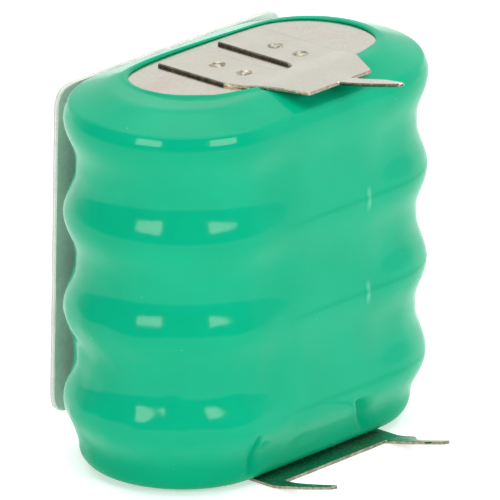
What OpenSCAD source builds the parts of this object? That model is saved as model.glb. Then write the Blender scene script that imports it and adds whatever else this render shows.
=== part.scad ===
// Four-cell stack of oval rechargeable button cells in a shrink sleeve, with solder tabs and a pad.
// X runs along the long side of the oval and Y across it. Z is the stack axis.
// The origin is on the stack axis, in the face that the pack stands on: the lower tab's underside.

/* [Cell] */
// Length of one bare cell along X
cell_length = 25.5; // [25.2:0.1:25.8]
// Width of one bare cell along Y
cell_width = 14.0; // [13.9:0.05:14.1]
// Height of one cell, from lid face to closed end
cell_height = 5.85; // [5.8:0.05:6.0]
// Sheet thickness of the can and the lid
can_wall = 0.3; // [0.25:0.05:0.3]
// Height above the lid face at which the can is widest
widest_height = 4.05; // [3.95:0.05:4.1]

/* [Stack] */
// Number of cells
cell_count = 4; // [4:1:4]
// Thickness of the plates that join one cell to the next
link_thickness = 0.12; // [0.1:0.01:0.15]

/* [Sleeve] */
// Thickness of the shrunk film
film = 0.15; // [0.12:0.01:0.15]
// Gap left between the film and the widest line of each can
film_gap = 0.05; // [0.04:0.01:0.06]
// How far the film draws in between two cells
neck_depth = 0.68; // [0.5:0.02:0.76]
// How far the film draws in below the lowest cell's widest line
foot_depth = 0.94; // [0.8:0.02:0.94]
// Sharpness of the scallops, 1 is a plain cosine
scallop_power = 1.6; // [1.4:0.1:1.6]
// Half length of the straight part of the end openings
opening_straight = 4.8; // [4.4:0.1:5.0]
// Radius of the end openings
opening_radius = 4.2; // [4.0:0.1:4.4]

/* [Tabs] */
// Sheet thickness of the solder tabs
tab_sheet = 0.2; // [0.15:0.01:0.2]
// Width of the upper tab
top_tab_width = 9.2; // [8.8:0.1:9.4]
// Width of the lower tab
low_tab_width = 11.45; // [11:0.05:11.6]
// Width of the slot between the weld areas
slot_width = 1.55; // [1.3:0.05:1.7]
// Width of a pin where it leaves its tab
pin_root = 1.15; // [1:0.05:1.2]
// Length of a pin along its slope
pin_length = 5.05; // [4:0.05:5.5]
// Slope of the upper tab's pin where it leaves the tab
top_pin_slope = 10.5; // [0:0.5:14]
// Slope of the lower tab's pins where they leave the tab
low_pin_slope = 12; // [0:0.5:14]

/* [Pad] */
// Width of the self-adhesive pad
pad_width = 20.7; // [20:0.1:21]
// Height of the pad
pad_height = 21.0; // [20:0.1:21.4]
// Corner radius of the pad
pad_corner = 1.4; // [1:0.1:3]
// How far the pad's left edge leans in towards its top
pad_slant = 0.4; // [0:0.1:0.6]
// Thickness of each adhesive film
adhesive = 0.05; // [0.04:0.01:0.08]
// Thickness of the carrier between the adhesive films
carrier = 0.15; // [0.1:0.01:0.3]
// Thickness of the release liner
liner = 0.08; // [0.06:0.01:0.12]

/* [Hidden] */
$fn = 64;

// Stack levels
cell_radius = cell_width / 2;
straight = (cell_length - cell_width) / 2;
pitch = cell_height + link_thickness;
stack_base = tab_sheet;
stack_top = stack_base + cell_count * cell_height + (cell_count - 1) * link_thickness;
film_top = stack_top + film;

// Can profile
gentle_radius = 2.62;
corner_radius = 0.55;
corner_start = 21;
corner_end = 70;
waist_radius = cell_radius - 0.9;
waist_height = 2.0;
crimp_radius = waist_radius - 0.04;
crimp_base = 0.15;
crimp_corner = 0.7;
crimp_lip = 0.41;

// Lid, ring and inner parts of a cell
lid_flat = 4.25;
lid_step = 0.55;
lid_brim = 5.45;
ring_seat = 5.0;
ring_top = 1.7;
negative_base = 1.75;
negative_top = 3.25;
separator_top = 3.5;
positive_top = 5.5;
electrode_radius = 5.7;
positive_radius = 5.9;
positive_taper = 1.7;
positive_taper_height = 0.9;

// Sleeve profile
bulge_radius = cell_radius + film_gap + film;
bulge_height = stack_base + widest_height;
top_bulge = bulge_height + (cell_count - 1) * pitch;
scallop_steps = 12;
arc_steps = 6;
foot_radius = bulge_radius - foot_depth;
foot_corner = 0.85;
opening_shift = 0.3;
low_opening_radius = 4.45;
low_opening_straight = 5.75;

// Tab outlines
top_tab_x = 0.75;
top_tab_back = 3.8;
top_tab_edge = -6.9;
top_tab_outer_half = 2.83;
top_pin_x = 1.12;
low_tab_x = 0.38;
low_tab_back = 3.4;
low_tab_edge = -7.1;
slot_end = -2.6;
joggle_start = -2.7;
joggle_end = -3.5;
joggle = film + 0.05;
pin_steps = 4;
pin_curl = 1.2;
outline_reach = 20;

// Pad place
pad_x = 0.95;
pad_z = 12.6;
pad_face = bulge_radius;

sleeve_green = [0.17, 0.76, 0.59];
nickel = [0.82, 0.80, 0.75];
tab_nickel = [0.83, 0.83, 0.78];

// ---- helpers ----

// Sweeps a profile, drawn as radius and height, round an oval with straight sides.
module oval_sweep(half) {
    for (end = [0, 1])
        rotate([0, 0, 180 * end])
            translate([half, 0, 0])
                rotate([0, 0, -90])
                    rotate_extrude(angle = 180)
                        children();
    rotate([90, 0, 90])
        translate([0, 0, -half])
            linear_extrude(2 * half) {
                children();
                mirror([1, 0])
                    children();
            }
}

// Oval prism between two heights.
module oval_prism(half, radius, low, high) {
    translate([0, 0, low])
        linear_extrude(high - low) {
            square([2 * half, 2 * radius], center = true);
            for (side = [-1, 1])
                translate([side * half, 0])
                    circle(radius);
        }
}

// Shoulder of a can and of the film over it, from the widest line to the flat top.
// A gentle arc runs into a tight corner, and a shallow cone rises from there to the flat.
// The inset is measured inwards from the film's outer surface.
function shoulder(low, top, inset) =
    let (
        centre = [bulge_radius - gentle_radius, low],
        corner_centre = centre
            + (gentle_radius - corner_radius) * [cos(corner_start), sin(corner_start)],
        cone_foot = corner_centre
            + (corner_radius - inset) * [cos(corner_end), sin(corner_end)]
    )
    concat(
        [
            for (i = [0 : arc_steps])
                let (a = corner_start * i / arc_steps)
                centre + (gentle_radius - inset) * [cos(a), sin(a)]
        ],
        [
            for (i = [1 : arc_steps])
                let (a = corner_start + (corner_end - corner_start) * i / arc_steps)
                corner_centre + (corner_radius - inset) * [cos(a), sin(a)]
        ],
        [[cone_foot[0] - (top - cone_foot[1]) * tan(corner_end), top]]
    );

// Quarter circle about a centre, turning from the outside to the underside.
function lower_corner(centre, radius) = [
    for (i = [0 : arc_steps])
        let (a = 90 * i / arc_steps)
        [centre[0] + radius * cos(a), centre[1] - radius * sin(a)]
];

function reversed(list) = [for (i = [len(list) - 1 : -1 : 0]) list[i]];

// Scallop height, 1 at a cell's widest line and 0 midway between two cells.
function scallop(z) = pow(0.5 + 0.5 * cos(360 * (z - bulge_height) / pitch), scallop_power);

// ---- sleeve ----

// Outer radii of the film from the foot up to the top cell's widest line.
function film_wall(inset) = concat(
    [
        for (i = [scallop_steps / 2 : -1 : 1])
            let (z = bulge_height - i * pitch / scallop_steps)
            [foot_radius + foot_depth * scallop(z) - inset, z]
    ],
    [
        for (i = [0 : (cell_count - 1) * scallop_steps])
            let (z = bulge_height + i * pitch / scallop_steps)
            [bulge_radius - neck_depth * (1 - scallop(z)) - inset, z]
    ]
);

function film_foot(inset) = reversed(lower_corner(
    [foot_radius - foot_corner, stack_base + foot_corner],
    foot_corner - inset
));

function film_shoulder(inset) = shoulder(top_bulge, film_top - inset, inset);

module film_profile() {
    outer = concat(film_foot(0), film_wall(0), film_shoulder(0));
    inner = concat(film_foot(film), film_wall(film), film_shoulder(film));
    polygon(concat(
        [[0, stack_base]],
        outer,
        [[0, film_top], [0, film_top - film]],
        reversed(inner),
        [[0, stack_base + film]]
    ));
}

module sleeve() {
    color(sleeve_green)
        difference() {
            oval_sweep(straight)
                film_profile();
            oval_prism(low_opening_straight, low_opening_radius, -1, stack_base + 1);
            translate([opening_shift, opening_shift, 0])
                oval_prism(opening_straight, opening_radius, stack_top - 1, film_top + 1);
        }
}

// ---- parts of one cell ----

module can() {
    corner = [crimp_radius - crimp_corner, crimp_base + crimp_corner];
    lip_end = corner[0] - crimp_lip;
    outer = concat(
        [[lip_end, crimp_base]],
        reversed(lower_corner(corner, crimp_corner)),
        [[waist_radius, waist_height], [cell_radius, widest_height - 0.2]],
        shoulder(widest_height, cell_height, film + film_gap),
        [[0, cell_height]]
    );
    inner = concat(
        [[lip_end, crimp_base + can_wall]],
        reversed(lower_corner(corner, crimp_corner - can_wall)),
        [
            [waist_radius - can_wall, waist_height],
            [cell_radius - can_wall, widest_height - 0.2]
        ],
        shoulder(widest_height, cell_height - can_wall, film + film_gap + can_wall),
        [[0, cell_height - can_wall]]
    );
    color(nickel)
        oval_sweep(straight)
            polygon(concat(outer, reversed(inner)));
}

module lid() {
    rise = lid_step - can_wall;
    color(nickel)
        oval_sweep(straight)
            polygon([
                [0, 0],
                [lid_flat, 0],
                [lid_flat + rise, lid_step],
                [lid_brim, lid_step],
                [lid_brim, lid_step + can_wall],
                [lid_flat + rise - 0.2, lid_step + can_wall],
                [lid_flat - 0.2, can_wall],
                [0, can_wall]
            ]);
}

module sealing_ring() {
    corner = [crimp_radius - crimp_corner, crimp_base + crimp_corner];
    lip_end = corner[0] - crimp_lip;
    color("ivory")
        oval_sweep(straight)
            polygon(concat(
                [[lip_end, crimp_base + can_wall]],
                reversed(lower_corner(corner, crimp_corner - can_wall)),
                [
                    [crimp_radius - can_wall, ring_top],
                    [ring_seat, ring_top],
                    [ring_seat, lid_step + can_wall],
                    [lid_brim, lid_step + can_wall],
                    [lid_brim, lid_step],
                    [lip_end, lid_step]
                ]
            ));
}

module positive_electrode() {
    color([0.16, 0.20, 0.17])
        oval_sweep(straight)
            polygon([
                [0, separator_top],
                [positive_radius, separator_top],
                [positive_radius, positive_top - positive_taper_height],
                [positive_radius - positive_taper, positive_top],
                [0, positive_top]
            ]);
}

module separator() {
    color("white")
        oval_prism(straight, positive_radius, negative_top, separator_top);
}

module negative_electrode() {
    color([0.25, 0.25, 0.27])
        oval_prism(straight, electrode_radius, negative_base, negative_top);
}

// Bowed leaf that presses the lower electrode away from the lid.
module contact_spring() {
    leaf = 0.15;
    reach = 4;
    foot = 2.9;
    crown = 1.2;
    width = 4;
    low = can_wall;
    high = negative_base;
    color(nickel)
        rotate([90, 0, 0])
            linear_extrude(width, center = true)
                polygon([
                    [-reach, high], [-reach, high - leaf], [-foot, high - leaf],
                    [-crown, low], [crown, low],
                    [foot, high - leaf], [reach, high - leaf], [reach, high],
                    [foot - leaf, high], [crown - leaf, low + leaf],
                    [leaf - crown, low + leaf], [leaf - foot, high]
                ]);
}

// Places a cell's part at its level in the stack.
module at_cell(number) {
    translate([0, 0, stack_base + (number - 1) * pitch])
        children();
}

// Welded plate between one cell's closed end and the next cell's lid.
module cell_link(number) {
    length = 12;
    width = 5;
    color(tab_nickel)
        translate([-length / 2, -width / 2, stack_base + number * pitch - link_thickness])
            cube([length, width, link_thickness]);
}

// ---- tabs ----

function unit(v) = v / norm(v);
function left_of(v) = [-v[1], v[0]];

// Mitred normal of a path at one of its points.
function normal_at(path, i) =
    let (
        before = left_of(unit(path[max(i, 1)] - path[max(i, 1) - 1])),
        last = len(path) - 1,
        after = left_of(unit(path[min(i, last - 1) + 1] - path[min(i, last - 1)])),
        middle = unit(before + after)
    )
    middle / (middle * before);

// Sheet of even thickness along a path in Y and Z, wide in X.
module bent_sheet(path) {
    under = [for (i = [0 : len(path) - 1]) path[i] + normal_at(path, i) * tab_sheet / 2];
    over = [for (i = [0 : len(path) - 1]) path[i] - normal_at(path, i) * tab_sheet / 2];
    rotate([90, 0, 90])
        linear_extrude(2 * outline_reach, center = true)
            polygon(concat(under, reversed(over)));
}

// Points along a pin that leaves its tab upwards and curls a little more towards its tip.
function pin_path(y, z, start_slope, i = 1) = i > pin_steps ? [] :
    let (
        slope = start_slope + pin_curl * (i - 1),
        step = pin_length / pin_steps,
        y2 = y - step * cos(slope),
        z2 = z + step * sin(slope)
    )
    concat([[y2, z2]], pin_path(y2, z2, start_slope, i + 1));

function pin_tip(start_slope) = pin_path(0, 0, start_slope)[pin_steps - 1][0];

module top_tab_outline() {
    near = top_tab_x - top_tab_width / 2;
    far = top_tab_x + top_tab_width / 2;
    pin_near = top_pin_x - pin_root / 2;
    pin_far = top_pin_x + pin_root / 2;
    tip = top_tab_edge + pin_tip(top_pin_slope);
    difference() {
        polygon([
            [near, top_tab_back],
            [near, -1.65],
            [top_tab_x - top_tab_outer_half, top_tab_edge],
            [pin_near, top_tab_edge],
            [pin_near, tip - 1],
            [pin_near + 0.35, tip],
            [pin_far, tip + 2.3],
            [pin_far, top_tab_edge],
            [top_tab_x + top_tab_outer_half, top_tab_edge],
            [far, -4],
            [far, top_tab_back]
        ]);
        translate([top_tab_x - slot_width / 2, slot_end + slot_width / 2])
            square([slot_width, outline_reach]);
        translate([top_tab_x, slot_end + slot_width / 2])
            circle(slot_width / 2);
    }
}

module low_tab_outline() {
    near = low_tab_x - low_tab_width / 2;
    far = low_tab_x + low_tab_width / 2;
    tip = low_tab_edge + pin_tip(low_pin_slope);
    polygon([
        [near, low_tab_back],
        [near, tip - 1],
        [near + 0.35, tip],
        [near + 0.75, low_tab_edge - 1],
        [near + pin_root, low_tab_edge],
        [far - pin_root, low_tab_edge],
        [far - pin_root, tip - 1],
        [far - pin_root + 0.35, tip],
        [far - 0.65, low_tab_edge - 1.9],
        [far, low_tab_edge - 1.5],
        [far, low_tab_back]
    ]);
}

module positive_tab() {
    middle = stack_top + tab_sheet / 2;
    path = concat(
        [
            [top_tab_back + 1, middle],
            [joggle_start, middle],
            [joggle_end, middle + joggle],
            [top_tab_edge, middle + joggle]
        ],
        pin_path(top_tab_edge, middle + joggle, top_pin_slope)
    );
    color(tab_nickel)
        intersection() {
            bent_sheet(path);
            linear_extrude(2 * stack_top)
                top_tab_outline();
        }
}

module negative_tab() {
    middle = tab_sheet / 2;
    path = concat(
        [[low_tab_back + 1, middle], [low_tab_edge, middle]],
        pin_path(low_tab_edge, middle, low_pin_slope)
    );
    color(tab_nickel)
        intersection() {
            bent_sheet(path);
            translate([0, 0, -1])
                linear_extrude(pin_length)
                    low_tab_outline();
        }
}

// ---- pad ----

// One layer of the pad, from the sleeve outwards.
module pad_layer(offset_y, thickness) {
    reach_x = pad_width / 2 - pad_corner;
    reach_z = pad_height / 2 - pad_corner;
    translate([pad_x, pad_face + offset_y + thickness, pad_z])
        rotate([90, 0, 0])
            linear_extrude(thickness)
                hull() {
                    for (z = [-1, 1])
                        translate([reach_x, z * reach_z])
                            circle(pad_corner);
                    translate([-reach_x, -reach_z])
                        circle(pad_corner);
                    translate([pad_slant - reach_x, reach_z])
                        circle(pad_corner);
                }
}

module pad_inner_adhesive() {
    color([0.80, 0.84, 0.78])
        pad_layer(0, adhesive);
}

module pad_carrier() {
    color([0.84, 0.84, 0.80])
        pad_layer(adhesive, carrier);
}

module pad_outer_adhesive() {
    color([0.80, 0.84, 0.78])
        pad_layer(adhesive + carrier, adhesive);
}

module pad_release_liner() {
    color([0.93, 0.92, 0.88])
        pad_layer(2 * adhesive + carrier, liner);
}

sleeve();
positive_tab();
negative_tab();
pad_inner_adhesive();
pad_carrier();
pad_outer_adhesive();
pad_release_liner();
for (number = [1 : cell_count - 1]) {
    cell_link(number);
}
for (number = [1 : cell_count]) {
    at_cell(number) can();
    at_cell(number) lid();
    at_cell(number) sealing_ring();
    at_cell(number) positive_electrode();
    at_cell(number) separator();
    at_cell(number) negative_electrode();
    at_cell(number) contact_spring();
}
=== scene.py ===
import math
import random

import bpy
from mathutils import Matrix, Vector, geometry, noise


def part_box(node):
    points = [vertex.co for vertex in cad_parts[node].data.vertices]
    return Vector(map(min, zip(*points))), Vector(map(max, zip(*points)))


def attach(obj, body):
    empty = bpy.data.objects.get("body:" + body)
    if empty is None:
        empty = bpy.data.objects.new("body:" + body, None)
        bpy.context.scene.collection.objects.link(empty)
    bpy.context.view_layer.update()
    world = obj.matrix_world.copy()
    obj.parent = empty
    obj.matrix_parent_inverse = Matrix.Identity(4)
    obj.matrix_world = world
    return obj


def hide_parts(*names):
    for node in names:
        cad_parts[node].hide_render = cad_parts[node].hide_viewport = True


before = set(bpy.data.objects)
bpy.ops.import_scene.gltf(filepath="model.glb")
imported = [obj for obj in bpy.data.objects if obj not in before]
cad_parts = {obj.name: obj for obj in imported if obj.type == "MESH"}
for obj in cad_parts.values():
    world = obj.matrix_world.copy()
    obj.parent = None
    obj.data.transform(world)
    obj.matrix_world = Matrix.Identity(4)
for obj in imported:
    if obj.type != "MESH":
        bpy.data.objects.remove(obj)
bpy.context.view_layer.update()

MM = 0.001


def box_mm(node):
    """Lowest and highest corner of a CAD node in millimetres."""
    low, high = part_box(node)
    return low / MM, high / MM


SLEEVE_LOW, SLEEVE_HIGH = box_mm("sleeve")
CAN_LOW, CAN_HIGH = box_mm("can_4")
BULGE = (SLEEVE_HIGH.y - SLEEVE_LOW.y) / 2
STRAIGHT = SLEEVE_HIGH.x - BULGE
PITCH = CAN_LOW.z - box_mm("can_3")[0].z
FOOT = SLEEVE_LOW.z
FACE = CAN_HIGH.z
FILM_TOP = SLEEVE_HIGH.z


# ---- shared mesh helpers ----

def make_object(name, points, faces, replaced, sharp):
    """A smooth-shaded piece from millimetre points, riding on the root body.

    Edges that turn by more than the sharp angle are kept crisp; None smooths them all.
    """
    mesh = bpy.data.meshes.new(name)
    mesh.from_pydata([Vector(p) * MM for p in points], [], faces)
    mesh.validate()
    mesh.update()
    mesh.polygons.foreach_set("use_smooth", [True] * len(mesh.polygons))
    if sharp:
        mesh.set_sharp_from_angle(angle=sharp)
    piece = bpy.data.objects.new(name, mesh)
    bpy.context.scene.collection.objects.link(piece)
    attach(piece, "root")
    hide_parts(*replaced)
    return piece


def set_attribute(piece, name, values):
    """Stores one number per point, for the materials to read."""
    field = piece.data.attributes.new(name, "FLOAT", "POINT")
    field.data.foreach_set("value", values)


def smooth_step(low, high, value):
    """From 0 at low to 1 at high with a soft start and end; low may be the larger one."""
    t = min(1.0, max(0.0, (value - low) / (high - low)))
    return t * t * (3 - 2 * t)


def lerp(a, b, t):
    return a + (b - a) * t


def periodic(knots, u):
    """Smooth closed curve through (station, value) knots, for a station from 0 to 1."""
    count = len(knots)
    i = max((k for k in range(count) if knots[k][0] <= u), default=count - 1)
    picks = []
    for step in (-1, 0, 1, 2):
        turns, k = divmod(i + step, count)
        picks.append((knots[k][0] + turns, knots[k][1]))
    (u0, v0), (u1, v1), (u2, v2), (u3, v3) = picks
    t = (u - u1) / (u2 - u1)
    m1 = (v2 - v0) / (u2 - u0) * (u2 - u1)
    m2 = (v3 - v1) / (u3 - u1) * (u2 - u1)
    return (
        (2 * t**3 - 3 * t**2 + 1) * v1
        + (t**3 - 2 * t**2 + t) * m1
        + (3 * t**2 - 2 * t**3) * v2
        + (t**3 - t**2) * m2
    )


def wave(x, y, z, size, seed):
    """Smooth noise from about -1 to 1, with features of that size in millimetres."""
    return noise.noise(Vector((x / size + seed, y / size - seed, z / size + 2 * seed)))


# ---- shrink sleeve ----

# Points round each ring of the mesh, and how many neighbours on each side soften a point.
AROUND, BLEND = 480, 9
WALL_ROWS, BEND_ROWS, CONE_ROWS, LIP_ROWS = 130, 12, 6, 10
# Film thickness on the wall and at the foot, and how far its cut edges bulge.
FILM, FOOT_FILM, CUT_BULGE = 0.11, 0.06, 0.035
# Height of a cell's widest line, and how the film draws in between two of them.
WIDEST, SCALLOP_POWER, NECK_DEPTH = 4.05, 1.3, 0.78
# The foot: wall radius, how far and how high its corner turns, and the lower opening.
FOOT_RADIUS = BULGE - 0.94
FOOT_CORNER, FOOT_RISE = 0.95, 1.15
FOOT_LEVEL = FOOT + 0.08
FOOT_REACH = 4.45
# The shoulder: a gentle arc, a tight corner, then a shallow cone up to the flat top.
GENTLE_RADIUS, CORNER_RADIUS, STEEP = 1.6, 0.5, 0.28
GENTLE_END, CORNER_START, CORNER_END = (math.radians(a) for a in (22, 24, 70))
# Share of the neck depth kept on the flat sides, the left end and the right end, and where
# the flat side's share starts and stops changing into the end's. 1 is where the flat ends.
FLAT_SHARE, LEFT_SHARE, RIGHT_SHARE = 0.3, 0.93, 0.82
SHARE_FROM, SHARE_TO = 0.45, 1.12
# Height of the top opening's lowest edge above the metal, and the softness of the flat's rim.
LIP_GAP, RIM_SOFTNESS = 0.03, 0.04
LOWEST_BULGE = FOOT + WIDEST
TOP_BULGE = LOWEST_BULGE + 3 * PITCH

# How far the top opening's edge lies from the oval's centre line, by station round the oval.
# Station 0 is the middle of the front, 0.25 the right end, 0.5 the back and 0.75 the left end.
LIP_REACH = [
    (0.00, 3.9), (0.08, 3.8), (0.115, 3.65), (0.17, 4.0), (0.25, 4.0), (0.33, 4.1),
    (0.40, 4.28), (0.44, 4.46), (0.52, 4.6), (0.57, 4.4), (0.62, 3.55), (0.68, 2.6),
    (0.75, 2.15), (0.87, 2.25), (0.935, 3.25), (0.965, 3.75),
]
# How high that edge stands above the flat, how wide it rolls down inwards to the metal,
# and how wide it falls away outwards, by station.
ROLL_HEIGHT = [
    (0.00, 0.10), (0.06, 0.04), (0.17, 0.0), (0.22, 0.02), (0.28, 0.03), (0.33, 0.0),
    (0.40, -0.03), (0.45, -0.01), (0.50, 0.03), (0.55, 0.07), (0.60, 0.10), (0.63, 0.08),
    (0.68, 0.08), (0.74, 0.16), (0.84, 0.20), (0.94, 0.16),
]
ROLL_WIDTH = [
    (0.00, 0.1), (0.17, 0.12), (0.22, 0.18), (0.30, 0.18), (0.36, 0.1), (0.45, 0.1),
    (0.52, 0.14), (0.60, 0.2), (0.68, 0.15), (0.74, 0.12), (0.90, 0.1),
]
ROLL_FALL = [
    (0.00, 0.4), (0.17, 0.5), (0.30, 0.6), (0.45, 0.6), (0.60, 0.6), (0.68, 0.4),
    (0.75, 0.28), (0.93, 0.3),
]


def oval_stations(count):
    """Stations round the oval: (station, centre line x, outward normal x, normal y)."""
    arc = math.pi * BULGE
    total = 4 * STRAIGHT + 2 * arc
    found = []
    for i in range(count):
        s = total * i / count
        if s < STRAIGHT:
            x, a = s, -math.pi / 2
        elif s < STRAIGHT + arc:
            x, a = STRAIGHT, -math.pi / 2 + (s - STRAIGHT) / BULGE
        elif s < 3 * STRAIGHT + arc:
            x, a = 2 * STRAIGHT + arc - s, math.pi / 2
        elif s < 3 * STRAIGHT + 2 * arc:
            x, a = -STRAIGHT, math.pi / 2 + (s - 3 * STRAIGHT - arc) / BULGE
        else:
            x, a = s - total, -math.pi / 2
        found.append((i / count, x, math.cos(a), math.sin(a)))
    return found


def scallop(z):
    return (0.5 + 0.5 * math.cos(2 * math.pi * (z - LOWEST_BULGE) / PITCH)) ** SCALLOP_POWER


def wall_radius(z, share):
    """Film radius at a height. On the flat sides the scallops keep only a share of their depth."""
    if z < LOWEST_BULGE:
        depth, radius = BULGE - FOOT_RADIUS, FOOT_RADIUS
        return radius + depth * lerp(1, scallop(z), lerp(share, 1, (LOWEST_BULGE - z) / 3))
    return BULGE - NECK_DEPTH * share * (1 - scallop(z))


def film_profile(station, share):
    """(radius, height) pairs from the edge of the lower opening up to the edge of the top one."""
    reach = periodic(LIP_REACH, station)
    crest = FILM_TOP + periodic(ROLL_HEIGHT, station)
    width = periodic(ROLL_WIDTH, station)
    start = LOWEST_BULGE - PITCH / 2
    pairs = []
    for i in range(CONE_ROWS):
        pairs.append((lerp(FOOT_REACH, FOOT_RADIUS - FOOT_CORNER, i / CONE_ROWS), FOOT_LEVEL))
    for i in range(BEND_ROWS + 1):
        a = math.pi / 2 * i / BEND_ROWS
        z = FOOT_LEVEL + FOOT_RISE * (1 - math.cos(a))
        cut = FOOT_CORNER * (1 - math.sin(a))
        pairs.append((wall_radius(max(z, start), share) - cut, z))
    foot_end = FOOT_LEVEL + FOOT_RISE
    for i in range(1, WALL_ROWS + 1):
        z = lerp(foot_end, TOP_BULGE, i / WALL_ROWS)
        pairs.append((wall_radius(max(z, start), share), z))
    return pairs + film_shoulder() + film_lip(reach, width, crest, periodic(ROLL_FALL, station))


def film_shoulder():
    """From just above the widest line of the top cell round the corner to the cone's foot."""
    pairs = []
    centre = (BULGE - GENTLE_RADIUS, TOP_BULGE)
    for i in range(1, BEND_ROWS + 1):
        a = GENTLE_END * i / BEND_ROWS
        pairs.append((
            centre[0] + GENTLE_RADIUS * math.cos(a), centre[1] + GENTLE_RADIUS * math.sin(a)
        ))
    r, z = pairs[-1]
    steep = (r - STEEP * math.tan((GENTLE_END + CORNER_START) / 2), z + STEEP)
    for i in range(1, CONE_ROWS + 1):
        pairs.append((lerp(r, steep[0], i / CONE_ROWS), lerp(z, steep[1], i / CONE_ROWS)))
    corner = (
        steep[0] - CORNER_RADIUS * math.cos(CORNER_START),
        steep[1] - CORNER_RADIUS * math.sin(CORNER_START),
    )
    for i in range(1, BEND_ROWS + 1):
        a = lerp(CORNER_START, CORNER_END, i / BEND_ROWS)
        pairs.append((
            corner[0] + CORNER_RADIUS * math.cos(a), corner[1] + CORNER_RADIUS * math.sin(a)
        ))
    return pairs


CONE_FOOT = film_shoulder()[-1]


def top_level(r):
    """Height of the film on the cone and on the flat inside it, with a softened edge between."""
    cone = CONE_FOOT[1] + (CONE_FOOT[0] - r) / math.tan(CORNER_END)
    gap = max(RIM_SOFTNESS - abs(cone - FILM_TOP), 0) / RIM_SOFTNESS
    return min(cone, FILM_TOP) - gap * gap * RIM_SOFTNESS / 4


def film_lip(reach, width, crest, fall):
    """From the cone's foot up to the opening's raised edge, and down inwards to the metal."""
    pairs = []
    top = reach + width
    rise = crest - top_level(top)
    for i in range(1, BEND_ROWS + 1):
        r = lerp(CONE_FOOT[0], top + fall, i / BEND_ROWS)
        pairs.append((r, top_level(r)))
    for i in range(1, BEND_ROWS + 1):
        r = top + fall * (1 - i / BEND_ROWS)
        pairs.append((r, top_level(r) + rise * smooth_step(fall, 0, r - top)))
    low = FACE + LIP_GAP
    for i in range(1, LIP_ROWS + 1):
        a = math.pi / 2 * i / LIP_ROWS
        pairs.append((reach + width * (1 - math.sin(a)), low + (crest - low) * math.cos(a)))
    return pairs


# The folds above the lower tab: where they start, how tall they are, and each one's place.
FOLD_FOOT, FOLD_HEIGHT = 1.2, 2.2
LEFT_FOLD_X, LEFT_FOLD_DEPTH, RIGHT_FOLD_WIDTH = -6.65, 0.16, 1.4
# Heights at which the cans' edges show on the front, and the ridge of film along each.
CAN_EDGES = (4.1, 10.1, 16.1)
EDGE_RISE, EDGE_WIDTH, EDGE_HEIGHT = 0.3, 0.15, 0.02
# The short upright ridge that crosses the upper two of them.
NICK_X, NICK_WIDTH, NICK_HEIGHT = 3.05, 0.12, 0.07


def fold(across, width):
    """A fold in the film: a sudden step in at one side, then an even climb back out."""
    return smooth_step(-0.12, 0, across) * min(1.0, max(0.0, 1 - across / width))


def film_folds(x, z):
    """The two folds above the lower tab, each from 0 to 1, and how far up them z is."""
    climb = (z - FOLD_FOOT) / FOLD_HEIGHT
    left = fold(x - LEFT_FOLD_X, lerp(0.9, 0.45, climb)) * smooth_step(4.0, 3.3, z)
    right = fold(x - lerp(3.6, 2.2, climb), RIGHT_FOLD_WIDTH) * smooth_step(3.7, 3.3, z)
    return left, right, climb


def film_marks(x, z, ny):
    """Inward depth of the creases and folds on the front of the sleeve."""
    if ny > -0.6:
        return 0.0
    depth = 0.0
    if z < 4.2:
        left, right, climb = film_folds(x, z)
        depth += LEFT_FOLD_DEPTH * left + lerp(0.18, 0.34, min(1, climb)) * right
        depth *= smooth_step(0.7, 1.5, z)
    for level in CAN_EDGES[1:]:
        depth -= NICK_HEIGHT * nick(x, z, level)
        depth -= EDGE_HEIGHT * can_edge(x, z, level)
    return depth


def nick(x, z, level):
    """From 0 to 1 on the short upright ridge that crosses a can's edge."""
    run = smooth_step(level - 0.7, level, z) * smooth_step(level + 1.1, level + 0.6, z)
    return run * math.exp(-((x - NICK_X) / NICK_WIDTH) ** 2)


def can_edge(x, z, level):
    """From 0 to 1 along the line where the film is drawn tight over a can's edge."""
    along = smooth_step(-5.5, -1.5, x)
    return along * math.exp(-((z - level - EDGE_RISE) / EDGE_WIDTH) ** 2)


def film_painted_shade_and_highlight(x, z, ny):
    """Painted shade, which also takes away sheen, in the folds, at the foot and along the cans'
    edges; below 0 for painted highlights on the pale ridges.
    """
    # Painted shade towards the foot.
    foot = 0.75 * smooth_step(3.2, 1.4, z)
    if ny > -0.3:
        return foot
    left, right, _ = film_folds(x, z)
    # Painted shade on the folds.
    folded = max(smooth_step(0.1, 0.5, left), smooth_step(0.1, 0.5, right))
    folded *= smooth_step(0.6, 1.0, z)
    # Painted shade along a thin line over each can's edge.
    painted_shading = max(can_edge(x, z, level) for level in CAN_EDGES)
    # Painted highlight on the upright ridges.
    pale = max(nick(x, z, level) for level in CAN_EDGES[1:])
    return max(folded, 0.5 * painted_shading, foot) - pale


def blended(columns, half):
    """Each point averaged with its neighbours round the oval, so that the flat sides and the
    round ends run into each other."""
    around = len(columns)
    found = []
    for i in range(around):
        near = [columns[(i + k) % around] for k in range(-half, half + 1)]
        found.append([
            sum((column[j] for column in near), Vector((0, 0, 0))) / len(near)
            for j in range(len(near[0]))
        ])
    return found


def unevenness(p):
    """How far the film's waviness moves a point outwards. The lower left is more crumpled."""
    upright = smooth_step(0.4, 1.2, p.z) * smooth_step(FACE - 0.1, FACE - 1.5, p.z)
    uneven = 0.022 * wave(p.x, p.y, p.z, 5.0, 3) + 0.008 * wave(p.x, p.y, p.z, 1.7, 8)
    crumpled = smooth_step(1.0, -6.0, p.x) * smooth_step(12.0, 8.5, p.z)
    uneven += 0.1 * crumpled * wave(p.x, p.y, p.z, 1.6, 21)
    return upright * uneven


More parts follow.
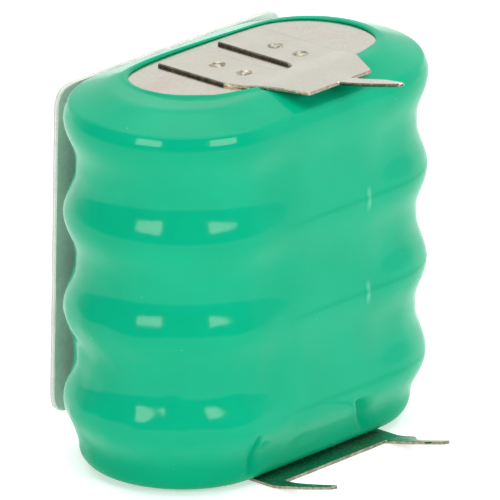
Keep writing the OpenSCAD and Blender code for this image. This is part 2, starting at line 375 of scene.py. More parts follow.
def sleeve_rings():
    """Outer surface of the film as rings of points, from the lower opening to the top one."""
    stations = oval_stations(AROUND)
    turn = BLEND * (4 * STRAIGHT + 2 * math.pi * BULGE) / AROUND / BULGE
    swell = turn / math.sin(turn)
    columns = []
    for u, cx, nx, ny in stations:
        flat = abs(ny) > 0.999
        along = abs(cx) / STRAIGHT if flat else 1 + (1 - abs(ny))
        end_share = lerp(LEFT_SHARE, RIGHT_SHARE, 0.5 + 0.5 * nx)
        share = lerp(FLAT_SHARE, end_share, smooth_step(SHARE_FROM, SHARE_TO, along))
        grow = 1 if flat else swell
        columns.append([
            Vector((cx + r * grow * nx, r * grow * ny, z)) for r, z in film_profile(u, share)
        ])
    columns = blended(columns, BLEND)
    for column, (_, _, nx, ny) in zip(columns, stations):
        outward = Vector((nx, ny, 0))
        for k, p in enumerate(column):
            column[k] = p + outward * (unevenness(p) - film_marks(p.x, p.z, ny))
    return [list(ring) for ring in zip(*columns)]


def ring_normals(rings):
    """Unit normals of a grid of points whose rings are closed and whose columns are open."""
    around, last = len(rings[0]), len(rings) - 1
    found = []
    for k, ring in enumerate(rings):
        above, below = rings[min(k + 1, last)], rings[max(k - 1, 0)]
        found.append([
            (ring[(i + 1) % around] - ring[i - 1]).cross(above[i] - below[i]).normalized()
            for i in range(around)
        ])
    return found


def film_edge(outer, inner, before):
    """A ring just past the film's cut edge, which rounds it over."""
    return [
        (a + b) / 2 + (a - c).normalized() * CUT_BULGE
        for a, b, c in zip(outer, inner, before)
    ]


def shrink_sleeve():
    """The film as one closed skin: outside, top edge, inside and bottom edge."""
    outer = sleeve_rings()
    normals = ring_normals(outer)
    inner = [
        [p - n * lerp(FOOT_FILM, FILM, smooth_step(0.4, 1.2, p.z)) for p, n in zip(ring, row)]
        for ring, row in zip(outer, normals)
    ]
    lip_edge = film_edge(outer[-1], inner[-1], outer[-2])
    foot_edge = film_edge(outer[0], inner[0], outer[1])
    rings = outer + [lip_edge] + inner[::-1] + [foot_edge]
    points = [p for ring in rings for p in ring]
    faces = []
    for k in range(len(rings)):
        low, high = k * AROUND, (k + 1) % len(rings) * AROUND
        for i in range(AROUND):
            j = (i + 1) % AROUND
            faces.append((low + i, low + j, high + j, high + i))
    piece = make_object("shrink_sleeve", points, faces, ["sleeve"], None)
    # Stores the film's painted shade and painted highlights, one number per point.
    set_attribute(piece, "painted_shade_and_highlight", [
        film_painted_shade_and_highlight(p.x, p.z, -1.0 if p.y < -BULGE / 2 else 0.0) for p in points
    ])
    return piece


# ---- flat pieces cut from sheet ----

def rounded(corners, steps=4):
    """Closed outline through (x, y, corner radius) corners, each corner cut by a short curve."""
    outline = []
    count = len(corners)
    for i, (x, y, radius) in enumerate(corners):
        here = Vector((x, y))
        before = Vector(corners[i - 1][:2]) - here
        after = Vector(corners[(i + 1) % count][:2]) - here
        if radius == 0:
            outline.append(here)
            continue
        a = here + before.normalized() * min(radius, before.length / 2.1)
        b = here + after.normalized() * min(radius, after.length / 2.1)
        for k in range(steps + 1):
            t = k / steps
            outline.append((1 - t) ** 2 * a + 2 * t * (1 - t) * here + t * t * b)
    return outline


def divided(outline, longest):
    """The same closed outline with its long sides cut into shorter ones."""
    found = []
    for i, a in enumerate(outline):
        b = outline[(i + 1) % len(outline)]
        parts = max(1, math.ceil((b - a).length / longest))
        found += [a.lerp(b, k / parts) for k in range(parts)]
    return found


def signed_area(outline):
    """Area of the closed outline, negative when it runs clockwise."""
    return sum(a.cross(b) for a, b in zip(outline, outline[1:] + outline[:1])) / 2


def inset(outline, width):
    """The outline moved inwards by that width; the outline runs anticlockwise."""
    found = []
    for i, here in enumerate(outline):
        before = (here - outline[i - 1]).normalized()
        after = (outline[(i + 1) % len(outline)] - here).normalized()
        middle = before + after
        normal = Vector((-middle.y, middle.x)).normalized()
        stretch = max(0.5, normal.dot(Vector((-before.y, before.x))))
        found.append(here + normal * (width / stretch))
    return found


def inside(point, outline):
    """Whether the point lies inside the closed outline."""
    hit = False
    for i, a in enumerate(outline):
        b = outline[i - 1]
        if (a.y > point.y) != (b.y > point.y):
            if point.x < (b.x - a.x) * (point.y - a.y) / (b.y - a.y) + a.x:
                hit = not hit
    return hit


def far_from(point, outline, gap):
    """Whether the point is more than the gap away from every side and corner."""
    for i, corner in enumerate(outline):
        if (point - corner).length <= gap:
            return False
        foot, along = geometry.intersect_point_line(point, outline[i - 1], corner)
        if 0 <= along <= 1 and (foot.xy - point).length <= gap:
            return False
    return True


def filling(outline, step, extra=()):
    """Points inside the outline on a staggered grid, round the extra points given."""
    low_x, high_x = min(p.x for p in outline), max(p.x for p in outline)
    low_y, high_y = min(p.y for p in outline), max(p.y for p in outline)
    found = list(extra)
    row, y = 0, low_y + step / 2
    while y < high_y:
        x = low_x + step * (0.25 if row % 2 else 0.75)
        while x < high_x:
            p = Vector((x, y))
            if inside(p, outline) and far_from(p, outline, step * 0.45):
                if all((p - q).length > step * 0.6 for q in extra):
                    found.append(p)
            x += step
        y += step * 0.87
        row += 1
    return found


def triangles(outline, points):
    """Triangles over the outline's inside, as indices into outline + points."""
    count = len(outline)
    edges = [(i, (i + 1) % count) for i in range(count)]
    result = geometry.delaunay_2d_cdt(outline + points, edges, [], 1, 1e-6)
    origin = [names[0] if names else None for names in result[3]]
    return [
        tuple(origin[v] for v in face) for face in result[2]
        if all(origin[v] is not None for v in face)
    ]


# Width of the finely meshed rim just inside a sheet's outline.
RIM_WIDTH = 0.15


def sheet_solid(name, outline, place, thick, bevels, step, replaced, extra=(), rough=0.0):
    """Closed sheet: two filled faces joined by a sheared, bevelled edge.

    place(x, y, offset, side) gives the point at an offset from the sheet's middle surface.
    Side is 1 on the upper face, -1 on the lower face and 0 along the edge. The bevels are the
    widths of the upper and lower ones, and rough is how far the sheared edge wanders.
    """
    if signed_area(outline) < 0:
        outline = outline[::-1]
    upper, lower = inset(outline, bevels[0]), inset(outline, bevels[1])
    interior = filling(inset(outline, max(bevels)), step, inset(outline, RIM_WIDTH) + list(extra))
    count, half = len(outline), thick / 2
    points = [place(p.x, p.y, half, 1) for p in upper + interior]
    base = len(points)
    points += [place(p.x, p.y, -half, -1) for p in lower + interior]
    faces = list(triangles(upper, interior))
    faces += [tuple(base + v for v in face[::-1]) for face in triangles(lower, interior)]
    random.seed(len(outline))
    loops = [list(range(count))]
    for offset in (half - bevels[0], -half + bevels[1]):
        start = len(points)
        for p in outline:
            jolt = rough * (random.random() - 0.5)
            points.append(place(p.x + jolt, p.y + jolt, offset, 0))
        loops.append(list(range(start, start + count)))
    loops.append(list(range(base, base + count)))
    for above, below in zip(loops, loops[1:]):
        for i in range(count):
            j = (i + 1) % count
            faces.append((above[j], above[i], below[i], below[j]))
    return make_object(name, points, faces, replaced, math.radians(40))


# ---- solder tabs ----

TAB_SHEET = 0.2
# Rise per millimetre of the pins where they leave the tabs, and how much they curl up further.
TOP_PIN_SLOPE, LOW_PIN_SLOPE, PIN_CURL = 0.179, 0.2053, 0.0081
# Half length of the bend at a pin's root.
BEND = 0.22
# The upper tab steps up over the film between these two places along Y.
JOGGLE_START, JOGGLE_END, JOGGLE = -2.2, -4.5, 0.2
WELD_SIZE = 0.48
EDGE_ROLL, EDGE_BURR, EDGE_ROUGHNESS = 0.07, 0.018, 0.006
# Lengths of mesh edges along a tab's outline and over its faces.
OUTLINE_STEP, FACE_STEP = 0.3, 0.33


def pin_rise(beyond, slope):
    """Height of a pin above its tab, at a distance beyond the tab's edge."""
    if beyond < -BEND:
        return 0.0
    if beyond < BEND:
        return slope * (beyond + BEND) ** 2 / (4 * BEND)
    return slope * beyond + PIN_CURL * (beyond - BEND) ** 2


def weld_relief(x, y, welds):
    """Height of the weld craters: a sunk ring with a raised rim and a nub in its middle."""
    total = 0.0
    for i, (wx, wy) in enumerate(welds):
        dx, dy = x - wx, y - wy
        r = math.hypot(dx, dy * 1.15) / WELD_SIZE
        if r > 2:
            continue
        turn = math.atan2(dy, dx)
        uneven = 1 + 0.5 * math.sin(2 * turn + 2 * i) + 0.9 * wave(dx, dy, i, 0.22, 5)
        total -= 0.065 * uneven * math.exp(-((r - 0.72) / 0.24) ** 2)
        total += 0.02 * math.exp(-(r / 0.4) ** 2)
        total += 0.012 * uneven * math.exp(-((r - 1.2) / 0.16) ** 2)
    return total


def weld_points(welds):
    """Fine rings of mesh points round each weld."""
    found = []
    for wx, wy in welds:
        found.append(Vector((wx, wy)))
        for ring in range(1, 10):
            radius = ring * 0.075
            count = 6 + 4 * ring
            for k in range(count):
                a = 2 * math.pi * (k + ring % 2 / 2) / count
                found.append(Vector((wx + radius * math.cos(a), wy + radius * math.sin(a))))
    return found


def weld_stain_and_edge_shade(piece, welds):
    """Stores how far weld heat has darkened each point of a tab, and painted shade along its cut
    edges.
    """
    values = []
    for v in piece.data.vertices:
        x, y = v.co.x / MM, v.co.y / MM
        stain_and_edge_shade = 0.0
        for i, (wx, wy) in enumerate(welds):
            r = math.hypot(x - wx, (y - wy) * 1.15) / WELD_SIZE
            patchy = 0.75 + 1.1 * wave(x - wx, y - wy, i, 0.3, 12)
            stain_and_edge_shade = max(stain_and_edge_shade, patchy * math.exp(-((r - 0.8) / 0.36) ** 2))
        # Painted shade along the cut edges, where the faces turn away from upright.
        painted_edge_shade = smooth_step(0.985, 0.9, abs(v.normal.z))
        values.append(max(stain_and_edge_shade, 0.6 * painted_edge_shade))
    set_attribute(piece, "stain_and_edge_shade", values)


def tab_surface(middle, edge, joggle, pin_slope, welds):
    """Where a tab's sheet runs: returns the place() function for sheet_solid.

    The pins start at the tab's edge. Middle is the height of the sheet's middle surface.
    """
    def height(y):
        z = middle + joggle * smooth_step(JOGGLE_START, JOGGLE_END, y)
        return z + pin_rise(edge - y, pin_slope)

    def place(x, y, offset, side):
        slope = (height(y + 0.01) - height(y - 0.01)) / 0.02
        length = math.hypot(1, slope)
        ripple = 0.003 * wave(x, y, 0, 3.0, 4)
        dent = weld_relief(x, y, welds) if side > 0 else 0.3 * weld_relief(x, y, welds)
        up = offset + (dent if side else 0)
        return (x, y - up * slope / length, height(y) + up / length + ripple * (side >= 0))
    return place


TOP_WELDS = [(-1.61, 0.94), (-1.61, -1.23), (3.33, 0.68), (3.29, -1.39)]


def positive_tab():
    """Upper tab: a plate with a slot between its two pairs of welds, and one pin."""
    low, high = box_mm("positive_tab")
    centre = (low.x + high.x) / 2
    edge, outer_half, slot_half, slot_end = -6.9, 2.83, 0.775, -2.6
    left_shoulder, right_shoulder = -1.5, -4
    pin_x, pin_half = centre + 0.37, 0.575
    tip = low.y + 0.03
    slot = []
    for k in range(13):
        a = math.pi * k / 12
        slot.append((
            centre + slot_half * math.cos(a), slot_end + slot_half - slot_half * math.sin(a), 0
        ))
    corners = [
        (low.x, high.y, 0.12), (low.x, left_shoulder, 0.1), (centre - outer_half, edge, 0.1),
        (pin_x - pin_half, edge, 0.12), (pin_x - pin_half, tip + 0.08, 0.15),
        (pin_x - pin_half + 0.38, tip, 0.15),
        (pin_x + pin_half, tip + 2.0, 0.5), (pin_x + pin_half, edge, 0.15),
        (centre + outer_half, edge, 0.1), (high.x, right_shoulder, 0.1), (high.x, high.y, 0.12),
        (centre + slot_half, high.y, 0.15), *slot, (centre - slot_half, high.y, 0.15),
    ]
    outline = divided(rounded(corners), OUTLINE_STEP)
    place = tab_surface(FACE + TAB_SHEET / 2, edge, JOGGLE, TOP_PIN_SLOPE, TOP_WELDS)
    piece = sheet_solid(
        "slotted_tab", outline, place, TAB_SHEET, (EDGE_ROLL, EDGE_BURR), FACE_STEP,
        ["positive_tab"], weld_points(TOP_WELDS), EDGE_ROUGHNESS,
    )
    weld_stain_and_edge_shade(piece, TOP_WELDS)
    return piece


def negative_tab():
    """Lower tab: a plate under the pack with two pins, welded from below."""
    low, high = box_mm("negative_tab")
    edge, root = -7.1, 1.15
    tip = low.y + 0.03
    welds = [(-2.2, 1.2), (-2.2, -1.2), (2.9, 1.2), (2.9, -1.2)]
    corners = [
        (low.x, high.y, 0.12), (low.x, tip + 0.25, 0.2), (low.x + 0.2, tip, 0.14),
        (low.x + 0.4, tip + 0.1, 0.1), (low.x + 0.74, edge - 1.2, 0.6),
        (low.x + root - 0.1, edge, 0.12), (high.x - root, edge, 0.12),
        (high.x - root, tip + 0.25, 0.2), (high.x - root + 0.2, tip, 0.14),
        (high.x - root + 0.36, tip + 0.1, 0.1), (high.x - 0.65, edge - 1.9, 0.2),
        (high.x, edge - 1.5, 0.3), (high.x, high.y, 0.12),
    ]
    outline = divided(rounded(corners), OUTLINE_STEP)
    place = tab_surface(TAB_SHEET / 2, edge, 0, LOW_PIN_SLOPE, [])

    def place_flipped(x, y, offset, side):
        px, py, pz = place(x, y, offset, 1)
        if side < 0:
            pz -= weld_relief(x, y, welds)
        return (px, py, max(pz, 0.0) if y > edge + 0.3 else pz)
    piece = sheet_solid(
        "twin_pin_tab", outline, place_flipped, TAB_SHEET, (EDGE_BURR, 2 * EDGE_BURR), FACE_STEP,
        ["negative_tab"], weld_points(welds), EDGE_ROUGHNESS,
    )
    weld_stain_and_edge_shade(piece, welds)
    return piece


# ---- self-adhesive pad ----

# Corner radius, and how far the left edge leans in towards its top.
PAD_CORNER, PAD_SLANT = 1.5, 0.4
# Share of a layer's thickness that is filled, which keeps neighbouring faces apart.
PAD_FILL = 0.985
PAD_OUTLINE_STEP, PAD_FACE_STEP, PAD_ROUGHNESS = 0.7, 0.8, 0.02


def pad_layer(name, node, shrink, bevel):
    """One layer of the pad: a rounded rectangle with softened, slightly uneven edges."""
    low, high = box_mm(node)
    x0, x1, z0, z1 = low.x + shrink, high.x - shrink, low.z + shrink, high.z - shrink
    corners = [
        (x, z, PAD_CORNER) for x, z in ((x0, z0), (x1, z0), (x1, z1), (x0 + PAD_SLANT, z1))
    ]
    outline = divided(rounded(corners, 8), PAD_OUTLINE_STEP)
    middle, thick = (low.y + high.y) / 2, high.y - low.y

    def place(x, z, offset, side):
        return (x, middle - offset, z)
    return sheet_solid(
        name, outline, place, thick * PAD_FILL, (bevel, bevel), PAD_FACE_STEP, [node],
        (), PAD_ROUGHNESS,
    )


# ---- materials ----

def new_material(name, **sockets):
    """A material with values set on its shader's sockets; _ in a keyword stands for a space."""
    made = bpy.data.materials.new(name)
    made.use_nodes = True
    shader = made.node_tree.nodes["Principled BSDF"]
    for socket, value in sockets.items():
        shader.inputs[socket.replace("_", " ")].default_value = value
    return made, made.node_tree, shader


def add(tree, kind, **sockets):
    """A new node with values set on its sockets; _ in a keyword stands for a space."""
    node = tree.nodes.new(kind)
    for socket, value in sockets.items():
        node.inputs[socket.replace("_", " ")].default_value = value
    return node


def coordinates(tree, stretch=(1, 1, 1)):
    """Object coordinates, stretched so that a pattern runs along an axis."""
    place = tree.nodes.new("ShaderNodeTexCoord")
    mapping = add(tree, "ShaderNodeMapping", Scale=stretch)
    tree.links.new(place.outputs["Object"], mapping.inputs["Vector"])
    return mapping.outputs["Vector"]


def grain(tree, size, detail=2.0, stretch=(1, 1, 1), roughness=0.5):
    """Noise from 0 to 1 whose features have that size in millimetres."""
    node = add(
        tree, "ShaderNodeTexNoise", Scale=1 / (size * MM), Detail=detail, Roughness=roughness
    )
    tree.links.new(coordinates(tree, stretch), node.inputs["Vector"])
    return node.outputs["Fac"]


def remap(tree, value, low, high, to_low, to_high):
    """Value stretched from low..high to to_low..to_high, and held at its ends."""
    node = add(
        tree, "ShaderNodeMapRange",
        From_Min=low, From_Max=high, To_Min=to_low, To_Max=to_high,
    )
    tree.links.new(value, node.inputs["Value"])
    return node.outputs["Result"]


def blend_colours(tree, value, first, second):
    """Colour going from first to second as value goes from 0 to 1."""
    node = tree.nodes.new("ShaderNodeMix")
    node.data_type = "RGBA"
    for index, colour in ((6, first), (7, second)):
        if isinstance(colour, tuple):
            node.inputs[index].default_value = (*colour, 1)
        else:
            tree.links.new(colour, node.inputs[index])
    tree.links.new(value, node.inputs[0])
    return node.outputs[2]


def combine(tree, operation, first, second):
    """Result of a math operation on two sockets or numbers."""
    node = tree.nodes.new("ShaderNodeMath")
    node.operation = operation
    for index, value in enumerate((first, second)):
        if isinstance(value, (int, float)):
            node.inputs[index].default_value = value
        else:
            tree.links.new(value, node.inputs[index])
    return node.outputs[0]


def add_bump(tree, shader, height, depth, strength=1.0):
    """Bump of that depth in millimetres; a second call stacks on the first."""
    node = add(tree, "ShaderNodeBump", Strength=strength, Distance=depth * MM)
    tree.links.new(height, node.inputs["Height"])
    if shader.inputs["Normal"].is_linked:
        before = shader.inputs["Normal"].links[0].from_socket
        tree.links.new(before, node.inputs["Normal"])
    tree.links.new(node.outputs["Normal"], shader.inputs["Normal"])


def attribute(tree, name):
    """Number stored on the mesh's points by set_attribute."""
    node = tree.nodes.new("ShaderNodeAttribute")
    node.attribute_name = name
    return node.outputs["Fac"]


GREENS = (0.001, 0.338, 0.174), (0.002, 0.364, 0.192)
# The deep green is painted shade; the pale green is both dust and painted highlight.
PAINTED_SHADE_GREEN, DUST_AND_HIGHLIGHT_GREEN = (0.0, 0.25, 0.11), (0.35, 0.75, 0.60)


def film_material():
    """Glossy green shrink film with faint mottling, flow lines and a little dust, with painted
    shade and painted highlights stored on the mesh.
    """
    made, tree, shader = new_material("green_shrink_film", IOR=1.52)
    rim = add(tree, "ShaderNodeLayerWeight", Blend=0.5)
    gloss = remap(tree, rim.outputs["Facing"], 0.55, 0.95, 0.115, 0.01)
    # Painted shade and painted highlights stored on the mesh; the shade also takes away sheen.
    painted_shading = attribute(tree, "painted_shade_and_highlight")
    gloss = combine(tree, "MULTIPLY", gloss, remap(tree, painted_shading, 0, 1, 1, 0.1))
    tree.links.new(gloss, shader.inputs["Specular IOR Level"])
    mottle = remap(tree, grain(tree, 5.0, 3), 0.35, 0.65, 0, 1)
    colour = blend_colours(tree, mottle, *GREENS)
    # Painted shade darkens the film and painted highlights lighten it.
    colour = blend_colours(tree, remap(tree, painted_shading, 0, 1, 0, 0.5), colour, PAINTED_SHADE_GREEN)
    colour = blend_colours(tree, remap(tree, painted_shading, -1, 0, 0.3, 0), colour, DUST_AND_HIGHLIGHT_GREEN)
    dust_noise = grain(tree, 0.35, 1, roughness=0.4)
    dust = remap(tree, dust_noise, 0.80, 0.84, 0, 0.35)
    colour = blend_colours(tree, dust, colour, DUST_AND_HIGHLIGHT_GREEN)
    tree.links.new(colour, shader.inputs["Base Color"])
    scuff = grain(tree, 1.2, 5, (1, 1, 0.35), 0.6)
    rough = remap(tree, scuff, 0.35, 0.7, 0.07, 0.13)
    tree.links.new(rough, shader.inputs["Roughness"])
    add_bump(tree, shader, grain(tree, 1.4, 2), 0.004)
    add_bump(tree, shader, grain(tree, 0.25, 3), 0.0006)
    return made


def nickel_material(name, tone, dark, satin, streaks, stain_and_edge_shade=None):
    """Rolled nickel sheet: fine lines along the rolling direction, pits and small colour drift.

    The stain_and_edge_shade argument names the attribute that says how dark a point has been made
    by weld heat and by painted shade along the cut edges.
    """
    made, tree, shader = new_material(name, Metallic=1.0, Anisotropic=0.35)
    lines = grain(tree, 0.06, 3, streaks, 0.6)
    patches = grain(tree, 2.2, 4, roughness=0.6)
    drift = remap(tree, patches, 0.35, 0.65, 0, 1)
    colour = blend_colours(tree, drift, tone, dark)
    fine = remap(tree, lines, 0.3, 0.7, 0, 0.22)
    colour = blend_colours(tree, fine, colour, tuple(c * 0.72 for c in dark))
    if stain_and_edge_shade:
        # Weld stains, and painted shade along the cut edges, turn the nickel dark brown.
        burn_and_shade = remap(tree, attribute(tree, stain_and_edge_shade), 0.1, 0.7, 0, 0.92)
        tint = remap(tree, grain(tree, 0.3, 2), 0.4, 0.6, 0, 1)
        burn_and_shade_tint = blend_colours(tree, tint, (0.12, 0.10, 0.07), (0.33, 0.26, 0.17))
        colour = blend_colours(tree, burn_and_shade, colour, burn_and_shade_tint)
    tree.links.new(colour, shader.inputs["Base Color"])
    rough = remap(tree, combine(tree, "ADD", lines, patches), 0.7, 1.3, satin - 0.06, satin + 0.08)
    tree.links.new(rough, shader.inputs["Roughness"])
    add_bump(tree, shader, lines, 0.0016)
    add_bump(tree, shader, grain(tree, 0.5, 3), 0.003)
    return made


def can_material():
    """Nickel-plated steel with a fine speckle and pinkish handling stains."""
    made, tree, shader = new_material("plated_can", Metallic=1.0)
    speckle = remap(tree, grain(tree, 0.12, 4, roughness=0.7), 0.42, 0.62, 0, 1)
    colour = blend_colours(tree, speckle, (0.60, 0.585, 0.50), (0.53, 0.51, 0.43))
    blotch = grain(tree, 2.6, 5, roughness=0.7)
    pink = remap(tree, blotch, 0.50, 0.66, 0, 0.5)
    colour = blend_colours(tree, pink, colour, (0.60, 0.42, 0.36))
    spots = remap(tree, grain(tree, 0.22, 2), 0.66, 0.74, 0, 0.5)
    colour = blend_colours(tree, spots, colour, (0.34, 0.26, 0.20))
    tree.links.new(colour, shader.inputs["Base Color"])
    rough = remap(tree, grain(tree, 0.3, 5, roughness=0.7), 0.3, 0.7, 0.11, 0.22)
    tree.links.new(rough, shader.inputs["Roughness"])
    add_bump(tree, shader, grain(tree, 0.1, 3), 0.002)
    add_bump(tree, shader, blotch, 0.006)
    return made


def plastic_material():
    """Moulded nylon of the sealing rings."""
    made, tree, shader = new_material("ring_nylon", IOR=1.53)
    cloud = remap(tree, grain(tree, 1.8, 3), 0.35, 0.65, 0, 1)
    colour = blend_colours(tree, cloud, (0.62, 0.60, 0.50), (0.70, 0.68, 0.58))
    tree.links.new(colour, shader.inputs["Base Color"])
    rough = remap(tree, grain(tree, 0.2, 3), 0.3, 0.7, 0.35, 0.55)
    tree.links.new(rough, shader.inputs["Roughness"])
    add_bump(tree, shader, grain(tree, 0.15, 4), 0.004)
    return made


def powder_material(name, first, second, size, rough_low, metal):
    """Pressed electrode powder: coarse grains in two tones."""
    made, tree, shader = new_material(name, Metallic=metal)
    cells = add(tree, "ShaderNodeTexVoronoi", Scale=1 / (size * MM))
    tree.links.new(coordinates(tree), cells.inputs["Vector"])
    tone = remap(tree, cells.outputs["Distance"], 0.1, 0.7, 0, 1)
    fine = remap(tree, grain(tree, size / 3, 4), 0.35, 0.65, 0, 1)
    colour = blend_colours(tree, combine(tree, "MULTIPLY", tone, fine), first, second)
    tree.links.new(colour, shader.inputs["Base Color"])
    rough = remap(tree, fine, 0, 1, rough_low, rough_low + 0.25)
    tree.links.new(rough, shader.inputs["Roughness"])
    add_bump(tree, shader, cells.outputs["Distance"], 0.03, 0.8)
    add_bump(tree, shader, fine, 0.008)
    return made


def felt_material():
    """Separator felt: matted fibres."""
    made, tree, shader = new_material("separator_felt", Sheen_Weight=0.4)
    fibres = grain(tree, 0.08, 5, (1, 0.25, 1), 0.7)
    crossing = grain(tree, 0.08, 5, (0.25, 1, 1), 0.7)
    mat_of_fibres = combine(tree, "MAXIMUM", fibres, crossing)
    tone = remap(tree, mat_of_fibres, 0.4, 0.75, 0, 1)
    colour = blend_colours(tree, tone, (0.66, 0.65, 0.60), (0.88, 0.87, 0.83))
    tree.links.new(colour, shader.inputs["Base Color"])
    tree.links.new(remap(tree, tone, 0, 1, 0.75, 0.95), shader.inputs["Roughness"])
    add_bump(tree, shader, mat_of_fibres, 0.02)
    return made


def adhesive_material():
    """Tacky adhesive film, a little cloudy and uneven; its greenish tint is painted light thrown
    back from the green sleeve.
    """
    made, tree, shader = new_material("clear_adhesive", IOR=1.47, Specular_IOR_Level=0.25)
    cloud = remap(tree, grain(tree, 0.9, 4), 0.35, 0.65, 0, 1)
    # Greyish adhesive; the green in these colours is painted light thrown back from the sleeve.
    colour = blend_colours(tree, cloud, (0.64, 0.70, 0.64), (0.72, 0.76, 0.70))
    tree.links.new(colour, shader.inputs["Base Color"])
    rough = remap(tree, grain(tree, 0.4, 3), 0.3, 0.7, 0.18, 0.38)
    tree.links.new(rough, shader.inputs["Roughness"])
    add_bump(tree, shader, grain(tree, 0.5, 4), 0.01)
    return made


def carrier_material():
    """Pale foam carrier with small closed pores, and painted shade inside the pores."""
    made, tree, shader = new_material("foam_carrier")
    pores = add(tree, "ShaderNodeTexVoronoi", Scale=1 / (0.14 * MM))
    tree.links.new(coordinates(tree), pores.inputs["Vector"])
    # Painted shade: the deeper into a pore, the darker the foam.
    depth = remap(tree, pores.outputs["Distance"], 0.05, 0.5, 1, 0)
    colour = blend_colours(tree, depth, (0.70, 0.71, 0.67), (0.58, 0.59, 0.55))
    tree.links.new(colour, shader.inputs["Base Color"])
    tree.links.new(remap(tree, depth, 0, 1, 0.6, 0.85), shader.inputs["Roughness"])
    add_bump(tree, shader, pores.outputs["Distance"], 0.02)
    return made


def liner_material():
    """Release liner: siliconed paper with a fibre texture under a low gloss."""
    made, tree, shader = new_material("release_liner", IOR=1.45)
    fibres = grain(tree, 0.5, 6, (1, 1, 0.3), 0.7)
    tone = remap(tree, fibres, 0.35, 0.65, 0, 1)
    colour = blend_colours(tree, tone, (0.70, 0.69, 0.65), (0.78, 0.77, 0.73))
    tree.links.new(colour, shader.inputs["Base Color"])
    rough = remap(tree, grain(tree, 0.25, 4), 0.3, 0.7, 0.32, 0.5)
    tree.links.new(rough, shader.inputs["Roughness"])
    add_bump(tree, shader, fibres, 0.004)
    add_bump(tree, shader, grain(tree, 4.0, 2), 0.04)
    return made


def floor_material():
    """Plain white floor that glows a little, which keeps its shadows pale."""
    made, tree, shader = new_material("pale_floor", Specular_IOR_Level=0.1, Emission_Strength=0.42)
    shader.inputs["Emission Color"].default_value = (1, 1, 1, 1)
    tone = remap(tree, grain(tree, 30.0, 3), 0.35, 0.65, 0, 1)
    colour = blend_colours(tree, tone, (0.85, 0.85, 0.85), (0.865, 0.865, 0.865))
    tree.links.new(colour, shader.inputs["Base Color"])
    tree.links.new(remap(tree, tone, 0, 1, 0.8, 0.9), shader.inputs["Roughness"])
    return made


def dress(objects, made):
    """Gives one material to each object."""
    for item in objects:
        if not item.material_slots:
            item.data.materials.append(made)
        for slot in item.material_slots:
            slot.material = made


def nodes_starting(*starts):
    """CAD nodes whose names begin in one of these ways."""
    return [o for name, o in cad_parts.items() if name.startswith(starts)]


# ---- studio ----

# The point that the camera and the lamps face.
CENTRE = Vector((0.14, -0.209, 12.1)) * MM
# Metres to the lamps, and their brightness, where 1 looks as bright as white paper.
LAMP_DISTANCE, LAMP_RADIANCE = 0.6, 13.5
FLOOR_HALF, FLOOR_DROP = 3.0, 0.00001
# World brightness towards the camera's side and away from it, and overhead.
DARK_WALL, BRIGHT_WALL, CEILING = 0.16, 1.05, 2.4


def direction(azimuth, elevation):
    """Unit vector towards that azimuth and elevation; azimuth 0 is the front, 90 the right."""
    a, e = math.radians(azimuth), math.radians(elevation)
    return Vector((math.sin(a) * math.cos(e), -math.cos(a) * math.cos(e), math.sin(e)))


def softbox(name, azimuth, elevation, width, height):
    """Rectangular lamp that faces the object."""
    lamp = bpy.data.lights.new(name, "AREA")
    lamp.shape = "RECTANGLE"
    lamp.size, lamp.size_y = width, height
    lamp.energy = LAMP_RADIANCE * math.pi * width * height
    holder = bpy.data.objects.new(name, lamp)
    holder.visible_camera = False
    towards = direction(azimuth, elevation)
    holder.location = CENTRE + towards * LAMP_DISTANCE
    holder.rotation_mode = "QUATERNION"
    holder.rotation_quaternion = towards.to_track_quat("Z", "Y")
    bpy.context.scene.collection.objects.link(holder)


def build_floor():
    """A large flat floor just below the object."""
    mesh = bpy.data.meshes.new("floor")
    corners = [(-1, -1), (1, -1), (1, 1), (-1, 1)]
    points = [(x * FLOOR_HALF, y * FLOOR_HALF, -FLOOR_DROP) for x, y in corners]
    mesh.from_pydata(points, [], [(0, 1, 2, 3)])
    floor = bpy.data.objects.new("floor", mesh)
    bpy.context.scene.collection.objects.link(floor)
    dress([floor], floor_material())


def build_world():
    """White studio walls behind and to the sides, fading to dark walls round the camera."""
    world = bpy.data.worlds.new("studio")
    world.use_nodes = True
    tree = world.node_tree
    place = tree.nodes.new("ShaderNodeTexCoord")
    glow = None
    for towards, low, high, dark, bright in (
        (direction(-66, 0), 0.2, -0.42, DARK_WALL, BRIGHT_WALL),
        (Vector((0, 0, 1)), 0.7, 1.0, 0.0, CEILING),
    ):
        facing = tree.nodes.new("ShaderNodeVectorMath")
        facing.operation = "DOT_PRODUCT"
        facing.inputs[1].default_value = towards
        tree.links.new(place.outputs["Generated"], facing.inputs[0])
        fade = add(
            tree, "ShaderNodeMapRange",
            From_Min=low, From_Max=high, To_Min=dark, To_Max=bright,
        )
        fade.interpolation_type = "SMOOTHSTEP"
        tree.links.new(facing.outputs["Value"], fade.inputs["Value"])
        level = fade.outputs["Result"]
        glow = combine(tree, "ADD", glow, level) if glow else level
    background = tree.nodes["Background"]
    background.inputs["Color"].default_value = (1, 1, 1, 1)
    tree.links.new(glow, background.inputs["Strength"])
    bpy.context.scene.world = world


def build_lights():
    """Two low windows, whose reflections are the pairs of pale patches on the bulges."""
    softbox("window_left", -82, 24.5, 0.25, 0.105)
    softbox("window_front", -8, 24.5, 0.27, 0.105)


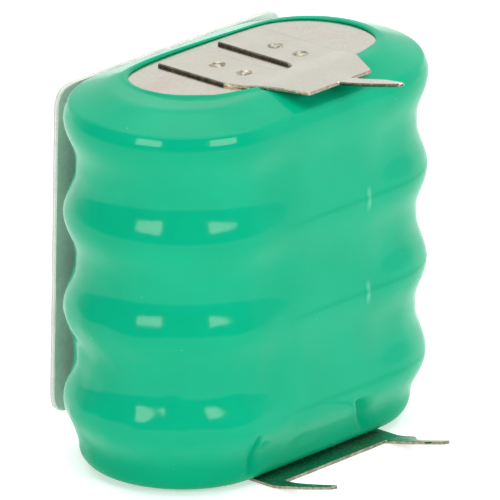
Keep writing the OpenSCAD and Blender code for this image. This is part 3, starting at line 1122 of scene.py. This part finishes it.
def build_camera():
    """Long lens at the photograph's viewing angle, turned by the photograph's slight roll."""
    azimuth, elevation, roll, distance = -48.262, 20.098, 0.307, 0.80041
    back = direction(azimuth, elevation)
    right = Vector((0, 0, 1)).cross(back).normalized()
    up = back.cross(right)
    turn = math.radians(roll)
    right, up = (
        right * math.cos(turn) + up * math.sin(turn),
        up * math.cos(turn) - right * math.sin(turn),
    )
    lens = bpy.data.cameras.new("camera")
    lens.lens = 952.05
    lens.sensor_width = 36
    lens.clip_start, lens.clip_end = 0.05, 20
    camera = bpy.data.objects.new("camera", lens)
    pose = Matrix((right, up, back)).transposed().to_4x4()
    pose.translation = CENTRE + back * distance
    camera.matrix_world = pose
    bpy.context.scene.collection.objects.link(camera)
    bpy.context.scene.camera = camera


# ---- assembly ----

tab_finish = nickel_material(
    "tab_nickel", (0.61, 0.59, 0.50), (0.56, 0.545, 0.46), 0.24, (1, 0.08, 1), "stain_and_edge_shade"
)
link_finish = nickel_material(
    "link_nickel", (0.63, 0.61, 0.55), (0.55, 0.53, 0.48), 0.3, (0.08, 1, 1)
)
dress([shrink_sleeve()], film_material())
dress([positive_tab(), negative_tab()], tab_finish)
dress([
    pad_layer("inner_adhesive", "pad_inner_adhesive", 0.05, 0.012),
    pad_layer("outer_adhesive", "pad_outer_adhesive", 0.04, 0.012),
], adhesive_material())
dress([pad_layer("foam_carrier", "pad_carrier", 0.0, 0.04)], carrier_material())
dress(
    [pad_layer("release_liner", "pad_release_liner", 0.0, 0.02)], liner_material()
)
dress(nodes_starting("can_", "lid_"), can_material())
dress(nodes_starting("cell_link_", "contact_spring_"), link_finish)
dress(nodes_starting("sealing_ring_"), plastic_material())
dress(nodes_starting("positive_electrode_"), powder_material(
    "positive_mass", (0.02, 0.03, 0.025), (0.09, 0.12, 0.10), 0.12, 0.6, 0.0
))
dress(nodes_starting("negative_electrode_"), powder_material(
    "negative_mass", (0.10, 0.10, 0.11), (0.28, 0.28, 0.30), 0.15, 0.4, 0.6
))
dress(nodes_starting("separator_"), felt_material())

build_floor()
build_world()
build_lights()
build_camera()
bpy.context.scene.view_settings.view_transform = "Standard"
